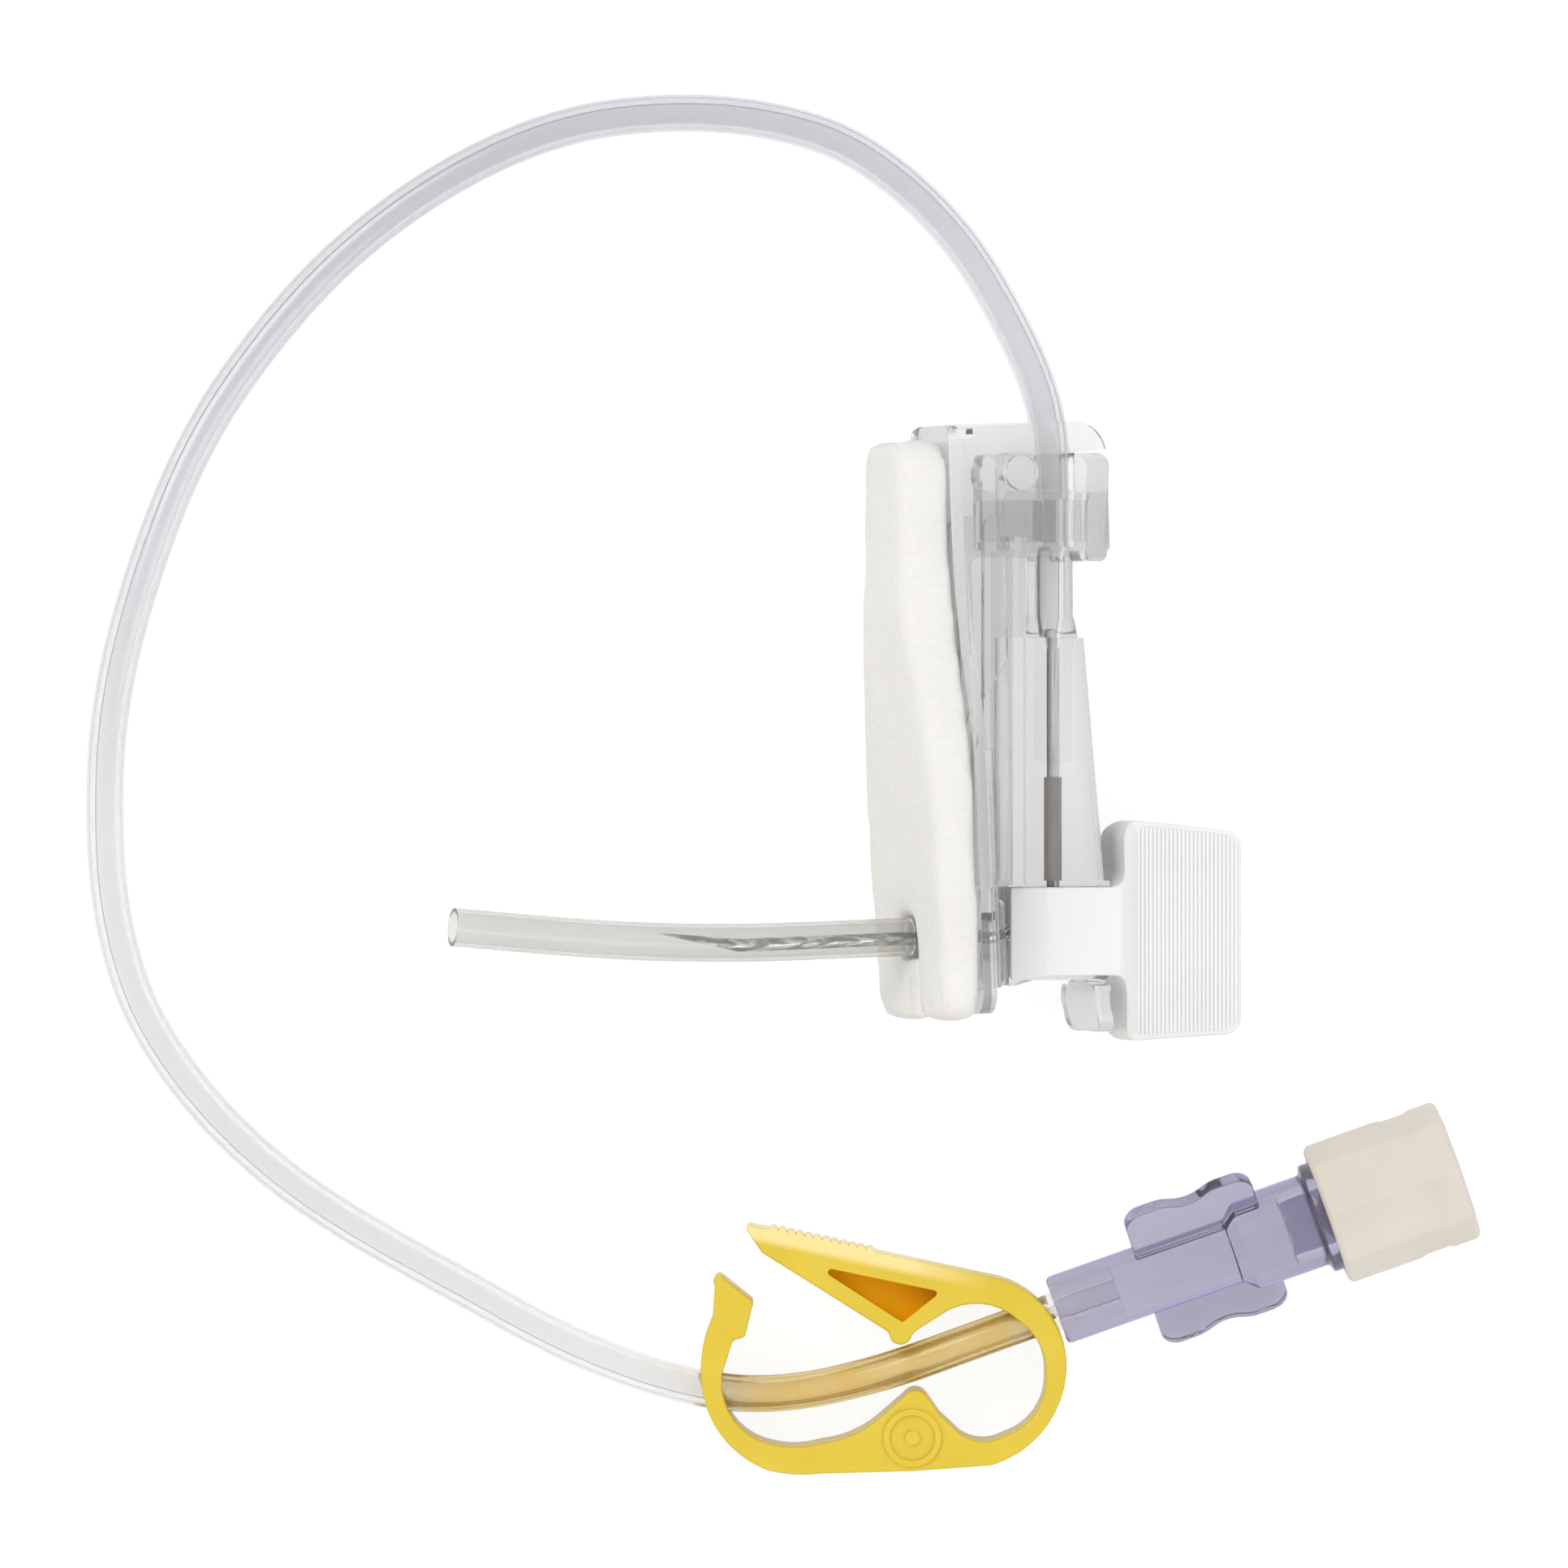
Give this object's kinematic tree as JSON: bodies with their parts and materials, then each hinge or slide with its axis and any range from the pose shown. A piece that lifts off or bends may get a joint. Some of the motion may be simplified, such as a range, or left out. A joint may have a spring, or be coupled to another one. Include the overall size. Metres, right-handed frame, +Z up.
{
  "type": "huber needle",
  "caption": "Bent needle in a clear sheath on a folding safety arm, with a foam-backed base, a ridged grip, clear tube, pinch clamp and capped luer connector.",
  "frame": {"origin": "centre of the needle body's bounding box in plan, on the floor that the set lies on", "axes": "+X from the needle's tip towards the grip, +Y towards the hinge end, +Z up"},
  "size_m": [0.0974, 0.0961, 0.0197],
  "materials": {
    "clear_plastic": "clear moulded plastic, polished",
    "foam": "soft off-white foam with a fine fibrous face",
    "steel": "bright drawn steel tube",
    "adhesive": "cured adhesive, dark where the steel shows through",
    "white_plastic": "white moulded plastic with fine ridges",
    "clear_tube": "clear soft tube, glossy",
    "yellow_plastic": "yellow moulded plastic, satin",
    "violet_plastic": "translucent violet moulded plastic",
    "ivory_plastic": "ivory moulded plastic, satin"
  },
  "bodies": {
    "arm": {"safety_arm": "clear_plastic", "cannula": "steel", "needle_bond": "adhesive", "tubing": "clear_tube", "pinch_clamp": "yellow_plastic", "luer_connector": "violet_plastic"},
    "base": {"base_plate": "clear_plastic", "foam_pad": "foam"},
    "grip": {"grip_handle": "white_plastic"},
    "sheath": {"needle_sheath": "clear_tube"},
    "cap": {"luer_cap": "ivory_plastic"}
  },
  "joints": [
    {"name": "base_fold", "type": "hinge", "parent": "arm", "child": "base", "pos_m": [0.01081, 0.01793, 0.00656], "axis": [-0.2997, 0, -0.954], "range_deg": [0, 40]},
    {"name": "grip_pull", "type": "slide", "parent": "arm", "child": "grip", "axis": [0.954, 0, -0.2997], "range_m": [0, 0.02]},
    {"name": "sheath_pull", "type": "slide", "parent": "arm", "child": "sheath", "axis": [-0.9534, -0.0359, 0.2995], "range_m": [0, 0.034]},
    {"name": "cap_unscrew", "type": "slide", "parent": "arm", "child": "cap", "axis": [0.9426, 0.3338, 0], "range_m": [0, 0.009]}
  ]
}
